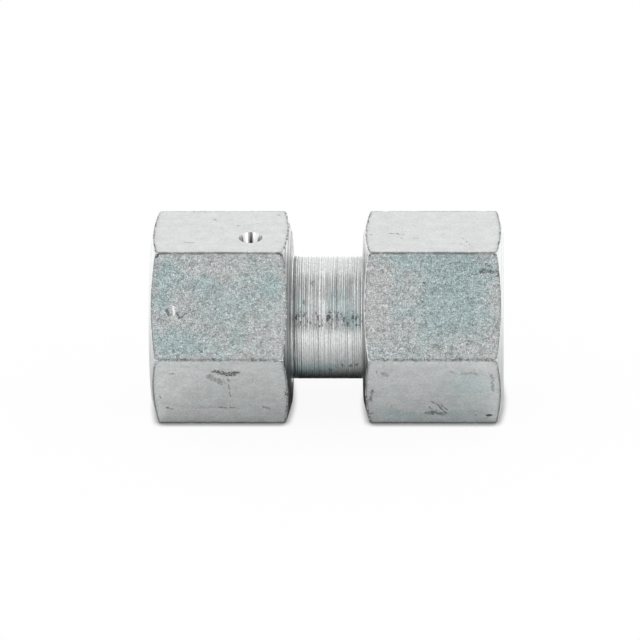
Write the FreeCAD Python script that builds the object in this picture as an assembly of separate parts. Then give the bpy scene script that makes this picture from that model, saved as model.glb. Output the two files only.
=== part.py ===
import FreeCAD, Part
import math
import os

from FreeCAD import Placement, Rotation, Vector

# Double swivel nut straight connector for hydraulic tube.
# Millimetres. X runs along the bore, Z is up, and the connector lies on one flat of each nut.
# The origin is the middle of the connector, on its axis. Every size below is set by itself.
# What fits inside or passes through another piece is worked out from them and a named clearance.

# Hexagon of each swivel nut, a 27 mm spanner size
HEX_ACROSS_FLATS = 27.0
HEX_EDGE_RADIUS = 0.4
END_CIRCLE_INSET = 1.2
END_CHAMFER_ANGLE = 16.0

# Inside of each nut, from the flats inward: M22 x 1.5 thread, relief and plain neck
NUT_WALL = 2.5
THREAD_PITCH = 1.5
THREAD_LENGTH = 9.3
THREAD_MOUTH_FLARE = 0.3
RELIEF_LENGTH = 2.0
RELIEF_DEPTH = 0.15
RELIEF_FLANK_ANGLE = 15.0
NECK_LAND = 2.05
NECK_EDGE_BREAK = 0.3

# Bare shank between the nuts, and the gap that lets it through the thread when it is put together
SHANK_EXPOSED_LENGTH = 10.4
SHANK_THREAD_GAP = 1.24
NUT_RUNNING_CLEARANCE = 0.25

# Coned noses of the body, which seat in a 24 degree cone
CONE_HALF_ANGLE = 12.0
NOSE_LENGTH = 7.0
NOSE_SHOULDER = 0.22
NOSE_PAST_NECK = 0.5
NOSE_TIP_CHAMFER = 0.4
BORE_EDGE_BREAK = 0.5
NOSE_WALL = 1.06

# O-ring in the groove of each nose
O_RING_CORD = 2.0
O_RING_PROUD = 0.3
O_RING_FROM_TIP = 2.7
O_RING_SIDE_CLEARANCE = 0.3
O_RING_ROOT_CLEARANCE = 0.05

# Retaining wire, half in the body's groove and half in the nut's
WIRE_DIAMETER = 2.0
WIRE_CLEARANCE = 0.15
WIRE_GROOVE_INSET = 5.8
WIRE_OPEN_ANGLE = 30.0
WIRE_HOOK_ANGLE = 205.0
WIRE_BEND_RADIUS = 1.5
WIRE_HOOK_LENGTH = 1.0

# Slanted hole through which the wire is fed, tangent to the wire's circle
FILLING_HOLE_CLEARANCE = 0.7
FILLING_HOLE_TILT = 32.0
DRILL_POINT_HALF_ANGLE = 59.0

# The right nut is the same nut, turned end for end and rolled onto another flat
RIGHT_NUT_ROLL = -60.0

# Radii that follow, from the flats inward to the bore
X_AXIS = Vector(1, 0, 0)
ORIGIN = Vector(0, 0, 0)
THREAD_DEPTH_PER_PITCH = 0.541266
hex_apothem = HEX_ACROSS_FLATS / 2
hex_corner = hex_apothem / math.cos(math.radians(30))
end_circle_radius = hex_apothem - END_CIRCLE_INSET
thread_major_radius = hex_apothem - NUT_WALL
thread_minor_radius = thread_major_radius - THREAD_DEPTH_PER_PITCH * THREAD_PITCH
relief_radius = thread_major_radius + RELIEF_DEPTH
mouth_radius = thread_major_radius + THREAD_MOUTH_FLARE
shank_radius = thread_minor_radius - SHANK_THREAD_GAP
neck_radius = shank_radius + NUT_RUNNING_CLEARANCE
cone_slope = math.tan(math.radians(CONE_HALF_ANGLE))
nose_base_radius = shank_radius - NOSE_SHOULDER
nose_tip_radius = nose_base_radius - NOSE_LENGTH * cone_slope
nose_at_ring = nose_tip_radius + O_RING_FROM_TIP * cone_slope
groove_root_radius = nose_at_ring + O_RING_PROUD - O_RING_CORD - O_RING_ROOT_CLEARANCE
bore_radius = groove_root_radius - NOSE_WALL

# Lengths that follow, each counted from a nut's inner end towards its mouth
wire_radius = WIRE_DIAMETER / 2
wire_groove_radius = wire_radius + WIRE_CLEARANCE
wire_circle_radius = (shank_radius + neck_radius) / 2
neck_end = WIRE_GROOVE_INSET + wire_groove_radius + NECK_LAND
thread_start = neck_end + RELIEF_LENGTH
nut_length = thread_start + THREAD_LENGTH
nose_base = neck_end + NOSE_PAST_NECK
nose_tip = nose_base + NOSE_LENGTH
ring_centre = nose_tip - O_RING_FROM_TIP
nut_inner_end = SHANK_EXPOSED_LENGTH / 2


def lathe(points):
    """Closed half outline of (x, radius) points turned into a solid about X."""
    outline = [Vector(x, 0, radius) for x, radius in points]
    outline.append(outline[0])
    return Part.Face(Part.makePolygon(outline)).revolve(ORIGIN, X_AXIS, 360)


def ring(x, circle_radius, cord_radius):
    """Torus about X with its cord's centre circle at x."""
    return Part.makeTorus(circle_radius, cord_radius, Vector(x, 0, 0), X_AXIS)


def hexagon_prism(length):
    """Hexagonal bar with its two flats level and softly rounded long edges."""
    corners = [
        Vector(0, hex_corner * math.cos(turn), hex_corner * math.sin(turn))
        for turn in (math.radians(60 * corner) for corner in range(7))
    ]
    bar = Part.Face(Part.makePolygon(corners)).extrude(Vector(length, 0, 0))
    long_edges = [
        edge for edge in bar.Edges
        if abs(edge.tangentAt(edge.FirstParameter).x) > 0.5
    ]
    return bar.makeFillet(HEX_EDGE_RADIUS, long_edges)


def turned_envelope():
    """Round blank whose two end chamfers trim the corners of the hexagon."""
    reach = hex_corner + HEX_EDGE_RADIUS
    run = (reach - end_circle_radius) * math.tan(math.radians(END_CHAMFER_ANGLE))
    return lathe([
        (0, 0),
        (0, end_circle_radius),
        (run, reach),
        (nut_length - run, reach),
        (nut_length, end_circle_radius),
        (nut_length, 0),
    ])


def nut_cavity():
    """Neck, relief, thread bore and flared mouth as one turned solid."""
    relief_flank = (relief_radius - neck_radius) * math.tan(math.radians(RELIEF_FLANK_ANGLE))
    relief_run_out = relief_radius - thread_minor_radius
    mouth_step = mouth_radius - thread_minor_radius
    return lathe([
        (0, 0),
        (0, neck_radius + NECK_EDGE_BREAK),
        (NECK_EDGE_BREAK, neck_radius),
        (neck_end - relief_flank, neck_radius),
        (neck_end, relief_radius),
        (thread_start - relief_run_out, relief_radius),
        (thread_start, thread_minor_radius),
        (nut_length - mouth_step, thread_minor_radius),
        (nut_length, mouth_radius),
        (nut_length, 0),
    ])


def filling_hole():
    """Slanted drilled hole from the top flat, tangent to the wire's circle."""
    tilt = math.radians(FILLING_HOLE_TILT)
    along = Vector(0, math.sin(tilt), -math.cos(tilt))
    outward = Vector(0, math.cos(tilt), math.sin(tilt))
    radius = wire_radius + FILLING_HOLE_CLEARANCE
    point_length = radius / math.tan(math.radians(DRILL_POINT_HALF_ANGLE))
    touch = Vector(WIRE_GROOVE_INSET, 0, 0) + outward * wire_circle_radius
    length = 2 * hex_corner
    drill = Part.makeCylinder(radius, length, touch - along * length, along)
    point = Part.makeCone(radius, 0, point_length, touch, along)
    return drill.fuse(point)


def make_nut():
    """Swivel nut with its inner end at x = 0 and its mouth towards +X."""
    nut = hexagon_prism(nut_length).common(turned_envelope())
    nut = nut.cut(nut_cavity())
    nut = nut.cut(ring(WIRE_GROOVE_INSET, wire_circle_radius, wire_groove_radius))
    return nut.cut(filling_hole())


def wire_path_point(radius, angle):
    """Point on the wire's plane at x = 0, with the angle measured from +Y towards +Z."""
    turn = math.radians(angle)
    return Vector(0, radius * math.cos(turn), radius * math.sin(turn))


def wire_solid(cord_radius, end_allowance):
    """Open ring of wire with one end bent inward as a hook, in the plane x = 0."""
    hook_turn = Rotation(X_AXIS, WIRE_HOOK_ANGLE)
    start = wire_path_point(wire_circle_radius, WIRE_HOOK_ANGLE)
    circle = Part.makeCircle(cord_radius, start, hook_turn.multVec(Vector(0, 0, 1)))
    section = Part.Face(Part.Wire(circle))
    turns = section.revolve(ORIGIN, X_AXIS, 360 - WIRE_OPEN_ANGLE)
    bend_centre = wire_path_point(wire_circle_radius - WIRE_BEND_RADIUS, WIRE_HOOK_ANGLE)
    bend = section.revolve(bend_centre, X_AXIS, -90)
    bend_end = bend_centre + hook_turn.multVec(Vector(0, 0, -WIRE_BEND_RADIUS))
    inward = hook_turn.multVec(Vector(0, -1, 0))
    straight = Part.makeCylinder(cord_radius, WIRE_HOOK_LENGTH + end_allowance, bend_end, inward)
    return turns.fuse([bend, straight]).removeSplitter()


def body_blank():
    """Shank with a coned nose at each end, before any groove is cut."""
    tip_chamfer_radius = nose_tip_radius - NOSE_TIP_CHAMFER
    half = [
        (nut_inner_end + nose_base - NOSE_SHOULDER, shank_radius),
        (nut_inner_end + nose_base, nose_base_radius),
        (nut_inner_end + nose_tip - NOSE_TIP_CHAMFER, nose_tip_radius + NOSE_TIP_CHAMFER * cone_slope),
        (nut_inner_end + nose_tip, tip_chamfer_radius),
        (nut_inner_end + nose_tip, bore_radius + BORE_EDGE_BREAK),
        (nut_inner_end + nose_tip - BORE_EDGE_BREAK, bore_radius),
    ]
    mirrored = [(-x, radius) for x, radius in reversed(half)]
    return lathe(half + mirrored)


def o_ring_groove(centre):
    """Square groove round the nose, wide enough for the squeezed ring."""
    half_width = O_RING_CORD / 2 + O_RING_SIDE_CLEARANCE
    return lathe([
        (centre - half_width, groove_root_radius),
        (centre - half_width, shank_radius),
        (centre + half_width, shank_radius),
        (centre + half_width, groove_root_radius),
    ])


def make_o_ring(centre):
    """Ring that stands slightly proud of the cone all round."""
    circle_radius = nose_at_ring + O_RING_PROUD - O_RING_CORD / 2
    return ring(centre, circle_radius, O_RING_CORD / 2)


def at(shape, x, turned_round=False, roll=0.0):
    """Copy of a shape moved to x, first turned end for end and rolled about X if asked."""
    placed = shape.copy()
    turn = Rotation(X_AXIS, roll)
    if turned_round:
        turn = turn.multiply(Rotation(Vector(0, 0, 1), 180))
    placed.Placement = Placement(Vector(x, 0, 0), turn).multiply(placed.Placement)
    return placed


def make_body():
    """Body of the connector with its wire grooves, hook pockets and O-ring grooves."""
    body = body_blank()
    pocket = wire_solid(wire_groove_radius, WIRE_CLEARANCE)
    groove = ring(0, wire_circle_radius, wire_groove_radius)
    for side in (-1, 1):
        wire_x = side * (nut_inner_end + WIRE_GROOVE_INSET)
        body = body.cut(at(groove, wire_x)).cut(at(pocket, wire_x, side < 0))
        body = body.cut(o_ring_groove(side * (nut_inner_end + ring_centre)))
    return body


def make_pieces():
    """Every piece of the connector by the name of its file."""
    nut = make_nut()
    wire = wire_solid(wire_radius, 0)
    wire_x = nut_inner_end + WIRE_GROOVE_INSET
    ring_x = nut_inner_end + ring_centre
    return {
        "connector_body": make_body(),
        "left_nut": at(nut, -nut_inner_end, turned_round=True),
        "right_nut": at(nut, nut_inner_end, roll=RIGHT_NUT_ROLL),
        "left_retaining_wire": at(wire, -wire_x, turned_round=True),
        "right_retaining_wire": at(wire, wire_x),
        "left_o_ring": make_o_ring(-ring_x),
        "right_o_ring": make_o_ring(ring_x),
    }


os.makedirs("parts", exist_ok=True)
for name, shape in make_pieces().items():
    shape.exportStep("parts/" + name + ".step")
    box = shape.BoundBox
    print(f"{name}: {len(shape.Solids)} solid, valid {shape.isValid()}, volume {shape.Volume:.2f}")
    print(f"  x {box.XMin:.2f} {box.XMax:.2f}  y {box.YMin:.2f} {box.YMax:.2f}  z {box.ZMin:.2f} {box.ZMax:.2f}")
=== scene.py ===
"""Looks of a straight hydraulic connector with two swivel nuts, laid out as a Blender add-on."""

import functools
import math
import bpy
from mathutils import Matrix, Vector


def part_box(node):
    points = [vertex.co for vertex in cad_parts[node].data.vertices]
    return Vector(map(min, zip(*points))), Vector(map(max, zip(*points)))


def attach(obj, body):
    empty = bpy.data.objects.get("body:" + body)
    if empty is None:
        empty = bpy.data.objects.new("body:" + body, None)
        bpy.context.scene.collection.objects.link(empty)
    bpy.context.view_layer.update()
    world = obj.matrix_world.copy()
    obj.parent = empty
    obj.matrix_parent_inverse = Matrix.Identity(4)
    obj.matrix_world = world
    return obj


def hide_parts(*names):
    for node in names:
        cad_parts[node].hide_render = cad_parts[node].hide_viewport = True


bl_info = {
    "name": "Straight connector",
    "version": (1, 0, 0),
    "blender": (4, 5, 0),
    "location": "3D View > Sidebar > Connector",
    "description": "Swivel nuts, threads, turned body and plated finishes of a straight connector",
    "category": "Object",
}

import bmesh
import bpy
import numpy as np
from mathutils import Matrix, Vector, noise

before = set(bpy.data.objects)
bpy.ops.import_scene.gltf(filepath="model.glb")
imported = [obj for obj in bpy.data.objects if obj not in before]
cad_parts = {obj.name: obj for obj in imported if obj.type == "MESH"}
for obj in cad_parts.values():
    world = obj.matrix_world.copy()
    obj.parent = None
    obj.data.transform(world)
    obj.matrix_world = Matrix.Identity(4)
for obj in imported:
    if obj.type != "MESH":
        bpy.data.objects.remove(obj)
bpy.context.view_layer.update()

MM = 0.001
# Distances in metres within which points are joined: in a geometry tree, in a mesh
WELD, SAME_POINT = 1e-6, 1e-7
# Faces that meet at more than this angle keep a sharp edge
SHARP = math.radians(28)
# Steps round the filling hole and the hook's pocket, and rows along half the shank
HOLE_STEPS, POCKET_STEPS, SHANK_ROWS = 64, 32, 132
# Half a hexagon's side over its apothem
HALF_SIDE = math.tan(math.radians(30))
WHITE = (1, 1, 1)

# Direction of each flat of a nut at rest, in degrees from +Y towards +Z
TOP, FRONT_UPPER, FRONT_LOWER, BOTTOM, REAR_LOWER, REAR_UPPER = 90, 150, 210, 270, 330, 30

# The two ends of the connector: side along X, CAD nodes, body of the nut, and roll of its filling hole
ENDS = {
    "left": dict(side=-1, nut="left_nut", body="left_swivel_nut", hole_turn=(180, 0)),
    "right": dict(side=1, nut="right_nut", body="right_swivel_nut", hole_turn=(0, -60)),
}
INNER_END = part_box("right_nut")[0].x
NUT_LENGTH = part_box("right_nut")[1].x - INNER_END
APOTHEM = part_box("right_nut")[1].z


def length(name, description, default_mm):
    """Length property, given in millimetres and kept in metres."""
    return bpy.props.FloatProperty(
        name=name, description=description, default=default_mm * MM, unit="LENGTH", precision=5
    )


def angle(name, description, default_degrees):
    """Angle property, given in degrees."""
    return bpy.props.FloatProperty(
        name=name, description=description, default=math.radians(default_degrees),
        subtype="ANGLE", unit="ROTATION",
    )


def colour(name, description, default):
    """Colour property, given as linear red, green and blue."""
    return bpy.props.FloatVectorProperty(
        name=name, description=description, default=default, subtype="COLOR", min=0, max=1
    )


def share(name, description, default):
    """Plain number from 0 to 1."""
    return bpy.props.FloatProperty(
        name=name, description=description, default=default, min=0, max=1, subtype="FACTOR"
    )


def count(name, description, default):
    """Whole number of steps."""
    return bpy.props.IntProperty(name=name, description=description, default=default, min=1)


class NutSettings(bpy.types.PropertyGroup):
    """Sizes of a swivel nut. Places along it are counted from its inner end."""

    apothem: length("Apothem", "Axis to flat", APOTHEM / MM)
    edge_radius: length("Edge radius", "Rounding of the long edges", 0.4)
    end_circle: length("End circle", "Radius of the flat ring at each end", APOTHEM / MM - 1.2)
    chamfer_angle: angle("Chamfer angle", "Slope of the turned end chamfers", 16)
    soft_edge: length("Soft edge", "Length over which turned edges are worn round", 0.2)
    neck: length("Neck radius", "Plain neck that runs on the shank", 9.198)
    neck_break: length("Neck edge break", "Chamfer at the mouth of the neck", 0.3)
    neck_end: length("Neck end", "Place where the neck opens into the relief", 9.0)
    relief: length("Relief radius", "Run-out behind the thread", 11.15)
    relief_flank: length("Relief flank", "Length of the sloped wall into the relief", 0.523)
    thread_start: length("Thread start", "Place of the first full thread", 11.0)
    thread_root: length("Thread root", "Major radius of the thread", 11.0)
    thread_crest: length("Thread crest", "Minor radius of the thread", 10.188)
    mouth: length("Mouth radius", "Flared mouth of the thread", 11.3)
    groove_place: length("Groove place", "Middle of the wire groove", 5.8)
    groove_circle: length("Groove circle", "Radius of the wire's centre circle", 9.073)
    groove_radius: length("Groove radius", "Radius of the wire groove's section", 1.15)
    hole_radius: length("Hole radius", "Radius of the wire filling hole", 1.7)
    hole_tilt: angle("Hole tilt", "Slant of the filling hole in the nut's cross-section", 32)
    hole_point: angle("Drill point", "Half angle of the drill point", 59)
    flat_columns: count("Columns on a flat", "Steps across each flat", 46)
    edge_columns: count("Columns on an edge", "Steps round each long edge", 8)
    flat_rows: count("Rows on a flat", "Steps along each flat", 64)
    waviness: length("Waviness", "Depth of the slow hollows in the flats", 0.02)
    nick_depth: length("Nick depth", "Depth of the nicks along the long edges", 0.07)


class ThreadSettings(bpy.types.PropertyGroup):
    """Sizes of the thread inside each nut."""

    pitch: length("Pitch", "Advance in one turn", 1.5)
    crest_width: length("Crest width", "Flat on top of the thread", 0.375)
    root_width: length("Root width", "Flat between two threads", 0.19)
    sunk: length("Sunk", "How far the thread stands in the wall", 0.04)
    run_out: length("Run-out", "Length over which each end fades", 0.8)
    steps_per_turn: count("Steps per turn", "Sections in each turn", 128)


class BodySettings(bpy.types.PropertyGroup):
    """Sizes of the turned body."""

    shank: length("Shank radius", "Bare shank between the nuts", 8.948)
    nose_base: length("Nose base", "Radius where the cone starts", 8.728)
    nose_start: length("Nose start", "Place along X where the cone starts", 14.7)
    nose_end: length("Nose end", "Tip of the nose along X", 21.7)
    nose_angle: angle("Cone half angle", "Half angle of the sealing cone", 12)
    tip_chamfer: length("Tip chamfer", "Chamfer round the tip", 0.4)
    bore: length("Bore radius", "Flow bore", 5.004)
    bore_break: length("Bore edge break", "Chamfer at each end of the bore", 0.5)
    ring_place: length("O-ring place", "Middle of the O-ring groove along X", 19.0)
    ring_groove_half: length("O-ring groove half width", "Half the width of the groove", 1.3)
    ring_groove_root: length("O-ring groove root", "Radius at the bottom of the groove", 6.064)
    hook_angle: angle("Hook angle", "Place round the axis of the wire's hook", 205)
    hook_bend: length("Hook bend", "Radius of the hook's bend", 1.5)
    hook_reach: length("Hook reach", "Straight end of the hook's pocket", 1.15)
    pocket_radius: length("Pocket radius", "Radius of the hook's pocket", 1.18)
    segments: count("Segments", "Steps round the body", 160)
    ring_pitch: length("Turning pitch", "Feed of the turning tool", 0.31)
    ring_depth: length("Turning depth", "Depth of the turned rings", 0.04)
    ring_seed: count("Turning seed", "Seed of the uneven rings", 7)


class FinishSettings(bpy.types.PropertyGroup):
    """Colours and gloss of the finishes."""

    zinc: colour("Zinc", "Bright zinc plate", (0.75, 0.758, 0.756))
    tint: colour("Passivate", "Blue-green tint of the passivated patches", (0.585, 0.725, 0.73))
    # Also the colour of the painted contact shade, dark border lines and the shank's painted dark reflection
    soil: colour("Soil", "Dark metal and soil in marks and scratches", (0.16, 0.16, 0.16))
    glint: colour("Glint", "Freshly bared bright metal", (0.95, 0.95, 0.95))
    wire: colour("Wire", "Bright drawn spring wire", (0.62, 0.62, 0.63))
    rubber: colour("Rubber", "Black nitrile rubber", (0.022, 0.022, 0.023))
    flat_roughness: share("Flat roughness", "Roughness of the smooth plated flats", 0.34)
    peel_roughness: share("Peel roughness", "Roughness of the grains of the orange peel", 0.24)
    turned_roughness: share("Turned roughness", "Roughness of the turned faces", 0.3)
    shank_roughness: share("Shank roughness", "Roughness of the turned shank", 0.19)
    peel_cell: length("Peel cell", "Size of a grain of the orange peel", 0.4)


class StageSettings(bpy.types.PropertyGroup):
    """Camera, floor and light."""

    elevation: angle("Elevation", "Height of the camera over the horizon", 23.6)
    azimuth: angle("Azimuth", "Turn of the camera towards the right nut", 1.6)
    distance: length("Distance", "Camera to connector", 1000)
    frame_width: length("Frame width", "Width of the picture at the connector", 93.05)
    aim_x: length("Aim along X", "Picture centre from the middle of the connector", -1.17)
    aim_up: length("Aim upwards", "Picture centre above the middle of the connector", -0.436)
    floor_lift: share("Floor lift", "White that the camera adds to the floor", 0.93)


SETTINGS = {
    "connector_nut": NutSettings,
    "connector_thread": ThreadSettings,
    "connector_body": BodySettings,
    "connector_finish": FinishSettings,
    "connector_stage": StageSettings,
}


# ---- Nodes

def reckoned(operation, swapped=False):
    """Method that puts one Math node behind a value and its partner."""
    def method(self, other):
        pair = (other, self) if swapped else (self, other)
        return self.nodes.math(operation, *pair)
    return method


class Value:
    """Output of a node, to reckon with like a number or a vector."""

    __add__ = reckoned("ADD")
    __radd__ = reckoned("ADD", swapped=True)
    __sub__ = reckoned("SUBTRACT")
    __rsub__ = reckoned("SUBTRACT", swapped=True)
    __mul__ = reckoned("MULTIPLY")
    __truediv__ = reckoned("DIVIDE")
    __rtruediv__ = reckoned("DIVIDE", swapped=True)
    __mod__ = reckoned("MODULO")

    def __init__(self, nodes, socket):
        self.nodes, self.socket = nodes, socket
        self.is_vector = socket.type == "VECTOR"

    def __abs__(self):
        return self.nodes.math("ABSOLUTE", self)

    def ramp(self, low, high, to_low=0.0, to_high=1.0):
        """Smooth step from one range to another."""
        return self.nodes.add("ShaderNodeMapRange", {
            "Value": self, "From Min": low, "From Max": high, "To Min": to_low, "To Max": to_high,
        }, interpolation_type="SMOOTHSTEP")["Result"]

    def fall(self, low, high):
        """Smooth step down from 1 to 0."""
        return self.ramp(low, high, 1.0, 0.0)

    def noise(self, scale, detail=2.0, roughness=0.5, output=0):
        """Noise from 0 to 1 at a place, or along a line of numbers."""
        return self.nodes.add("ShaderNodeTexNoise", {
            "Vector" if self.is_vector else "W": self, "Scale": scale, "Detail": detail, "Roughness": roughness,
        }, noise_dimensions="3D" if self.is_vector else "1D")[output]

    def dot(self, other):
        """Dot product with another vector."""
        return self.nodes.add("ShaderNodeVectorMath", {0: self, 1: other}, operation="DOT_PRODUCT")["Value"]

    def span(self, other=(0, 0, 0)):
        """Distance to another place."""
        return self.nodes.add("ShaderNodeVectorMath", {0: self, 1: other}, operation="DISTANCE")["Value"]

    def scaled(self, scale):
        """Vector times a number."""
        return self.nodes.add("ShaderNodeVectorMath", {0: self, "Scale": scale}, operation="SCALE")[0]

    def parts(self):
        """X, Y and Z of a vector."""
        return self.nodes.add("ShaderNodeSeparateXYZ", {0: self})

    def off_axis(self):
        """Distance of a place from the X axis."""
        _, y, z = self.parts()
        return self.nodes.joined(0.0, y, z).span()


class Outputs:
    """Outputs of one node as values, by name or number."""

    def __init__(self, nodes, sockets):
        self.nodes, self.sockets = nodes, sockets

    def __getitem__(self, key):
        return Value(self.nodes, self.sockets[key])


class Nodes:
    """Adds nodes to one tree, joins them, and feeds the tree's last node."""

    def __init__(self, tree, last=None):
        self.tree, self.last = tree, last

    def node(self, kind, inputs=None, **properties):
        """New node with its properties set and its inputs fed by name or number."""
        node = self.tree.nodes.new(kind)
        for name, value in properties.items():
            setattr(node, name, value)
        for key, value in (inputs or {}).items():
            self.feed(node.inputs[key], value)
        return node

    def add(self, kind, inputs=None, **properties):
        """Outputs of a new node."""
        return Outputs(self, self.node(kind, inputs, **properties).outputs)

    def feed(self, socket, value):
        """Links a value to the input, or sets the input's own value."""
        if isinstance(value, Value):
            self.tree.links.new(value.socket, socket)
        elif socket.type == "RGBA" and len(value) == 3:
            socket.default_value = (*value, 1)
        else:
            socket.default_value = value

    def give(self, **values):
        """Feeds the inputs of the last node by name, and lays the tree out."""
        for name, value in values.items():
            self.feed(self.last.inputs[name.replace("_", " ")], value)
        self.arrange()

    def math(self, operation, *values):
        """Result of one Math node, or of one Vector Math node where a vector comes in."""
        vectors = any(isinstance(value, tuple) or getattr(value, "is_vector", False) for value in values)
        kind = "ShaderNodeVectorMath" if vectors else "ShaderNodeMath"
        return self.add(kind, dict(enumerate(values)), operation=operation)[0]

    def most(self, *values):
        """Largest of the values."""
        return functools.reduce(lambda a, b: self.math("MAXIMUM", a, b), values)

    def least(self, a, b):
        """Smaller of two values."""
        return self.math("MINIMUM", a, b)

    def joined(self, x, y, z):
        """Vector of three parts."""
        return self.add("ShaderNodeCombineXYZ", {0: x, 1: y, 2: z})[0]

    def blend(self, factor, a, b):
        """Colour between a and b."""
        return self.add("ShaderNodeMix", {0: factor, 6: a, 7: b}, data_type="RGBA")[2]

    def shaded(self, colour, level):
        """Colour times a level that is near 1."""
        return self.math("MULTIPLY", self.joined(level, level, level), colour)

    def attribute(self, name):
        """Number stored on the mesh."""
        return self.add("ShaderNodeAttribute", attribute_name=name)["Fac"]

    def bump(self, height):
        """Normal of a relief whose height is in millimetres."""
        return self.add("ShaderNodeBump", {"Strength": 1.0, "Distance": MM, "Height": height})["Normal"]

    def glow(self, colour, strength):
        """Shader that only gives light."""
        return self.add("ShaderNodeEmission", {"Color": colour, "Strength": strength})[0]

    def mixed(self, factor, a, b):
        """Shader between a and b."""
        return self.add("ShaderNodeMixShader", {0: factor, 1: a, 2: b})[0]

    def group(self, name, **inputs):
        """Outputs of a shared effect with its own values."""
        return self.add("ShaderNodeGroup", inputs, node_tree=bpy.data.node_groups[name])

    def arrange(self):
        """Lays the nodes out in columns, from the last one back."""
        depth = {node: 0 for node in self.tree.nodes}
        for _ in range(len(depth)):
            moved = False
            for link in self.tree.links:
                if depth[link.from_node] < depth[link.to_node] + 1:
                    depth[link.from_node] = depth[link.to_node] + 1
                    moved = True
            if not moved:
                break
        rows = {}
        for node, column in depth.items():
            row = rows[column] = rows.get(column, -1) + 1
            node.location = (-240 * column, -190 * row)


def new_tree(name, inputs, outputs, kind="Shader"):
    """Nodes and inputs of an empty group. Each input has a default, or the kind of its socket."""
    tree = bpy.data.node_groups.new(name, kind + "NodeTree")
    for label, default in inputs.items():
        plain = not isinstance(default, str)
        socket = tree.interface.new_socket(label, in_out="INPUT", socket_type="NodeSocket" + (
            type(default).__name__.capitalize() if plain else default))
        if plain:
            socket.default_value = default
    for label in outputs:
        tree.interface.new_socket(label, in_out="OUTPUT", socket_type="NodeSocket" + (
            "Float" if kind == "Shader" else kind))
    nodes = Nodes(tree)
    nodes.last = nodes.node("NodeGroupOutput")
    return nodes, nodes.add("NodeGroupInput")


# ---- Shared effects. Places and sizes in them are in millimetres

def orange_peel_group():
    """Grainy skin of a plated flat: domed grains with dark joints, uneven shade, and bright grains painted in
    as sparkle highlights.
    """
    nodes, given = new_tree("Orange peel", {"Place": "Vector", "Cell": 0.4}, ("Height", "Shade", "Spark"))
    place, scale = given["Place"], 1.0 / given["Cell"]
    cells = {"Vector": place + place.noise(2.2, output="Color").scaled(0.5), "Scale": scale}
    grains = nodes.add("ShaderNodeTexVoronoi", cells, feature="F1")
    walls = nodes.add("ShaderNodeTexVoronoi", cells, feature="DISTANCE_TO_EDGE")
    fine, broad = place.noise(scale * 1.9, 2.0, 0.6), place.noise(0.7, 2.0, 0.6)
    pick = nodes.add("ShaderNodeSeparateColor", {0: grains["Color"]})
    dome = walls["Distance"].ramp(0.0, 0.26)
    joint = (1.0 - dome) * fine.ramp(0.4, 0.62)
    nodes.give(
        Height=dome * (pick[2] + 0.35) + fine * 1.1,
        Shade=pick[0] * 0.26 + fine.ramp(0.3, 0.7) * 0.62 + broad * 0.14 + joint * -0.6 + 0.08,
        Spark=grains["Distance"].fall(0.12, 0.42) * pick[1].ramp(0.74, 0.8))


def plate_tint_group():
    """Cloudy blue-green passivate, helped along where patches are given."""
    nodes, given = new_tree("Plate tint", {"Place": "Vector", "Patches": 0.0, "Amount": 1.0}, ("Tint",))
    clouds, wisps = given["Place"].noise(0.17, 3.0, 0.55), given["Place"].noise(0.75, 3.0, 0.6)
    level = clouds * 0.4 + wisps * 0.3 + 0.145 + given["Patches"] * 0.25
    nodes.give(Tint=level.ramp(0.42, 0.74, 0.1, 0.95) * given["Amount"])


def drawn_lines_group():
    """Fine lines along the bar the nuts are cut from."""
    nodes, given = new_tree("Drawn lines", {"Place": "Vector"}, ("Lines",))
    broad = (given["Place"] * (0.05, 1.3, 1.3)).noise(1.0, 3.0, 0.6)
    fine = (given["Place"] * (0.12, 6.0, 6.0)).noise(1.0)
    nodes.give(Lines=broad * 0.55 + fine * 0.45)


def turned_rings_group():
    """Feed marks of a turning tool, at a distance along the feed, uneven round the axis."""
    nodes, given = new_tree(
        "Turned rings", {"Place": "Vector", "Along": 0.0, "Pitch": 0.2}, ("Height", "Shade"))
    place = given["Place"]
    steps = (given["Along"] + place.noise(0.35, 1.0) * 0.12) / given["Pitch"]
    fine, broad = steps.noise(1.6, 2.0, 0.6), steps.noise(0.45)
    nodes.give(Height=fine * 0.8 + broad * 0.15, Shade=fine * place.noise(0.9).ramp(0.2, 0.8, 0.85, 1.15))


def scratch_group():
    """One mark from one point to another, broken up into flecks unless it is solid."""
    nodes, given = new_tree("Scratch", {
        "Place": "Vector", "Start": "Vector", "End": "Vector", "Width": 0.15, "Solid": 0.5}, ("Mark",))
    place, start = given["Place"], given["Start"]
    along, reach = given["End"] - start, place - start
    part = nodes.most(nodes.least(reach.dot(along) / (along.dot(along) + 1e-6), 1.0), 0.0)
    bare = (reach.span(along.scaled(part)) / given["Width"]).ramp(0.2, 1.3)
    level = place.noise(3.6, 3.0, 0.75) - bare * 0.6 + given["Solid"] * 0.22
    nodes.give(Mark=level.ramp(0.47, 0.6))


def specks_group():
    """Sparse small dark specks."""
    nodes, given = new_tree("Specks", {"Place": "Vector", "Gap": 1.4, "Size": 0.12}, ("Mark",))
    gap = given["Gap"]
    points = nodes.add("ShaderNodeTexVoronoi", {"Vector": given["Place"], "Scale": 1.0 / gap}, feature="F1")
    pick = nodes.add("ShaderNodeSeparateColor", {0: points["Color"]})
    away = points["Distance"] * gap / (given["Size"] * (pick[0] + 0.3))
    nodes.give(Mark=away.fall(0.6, 1.0) * pick[1].ramp(0.6, 0.65))


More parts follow.
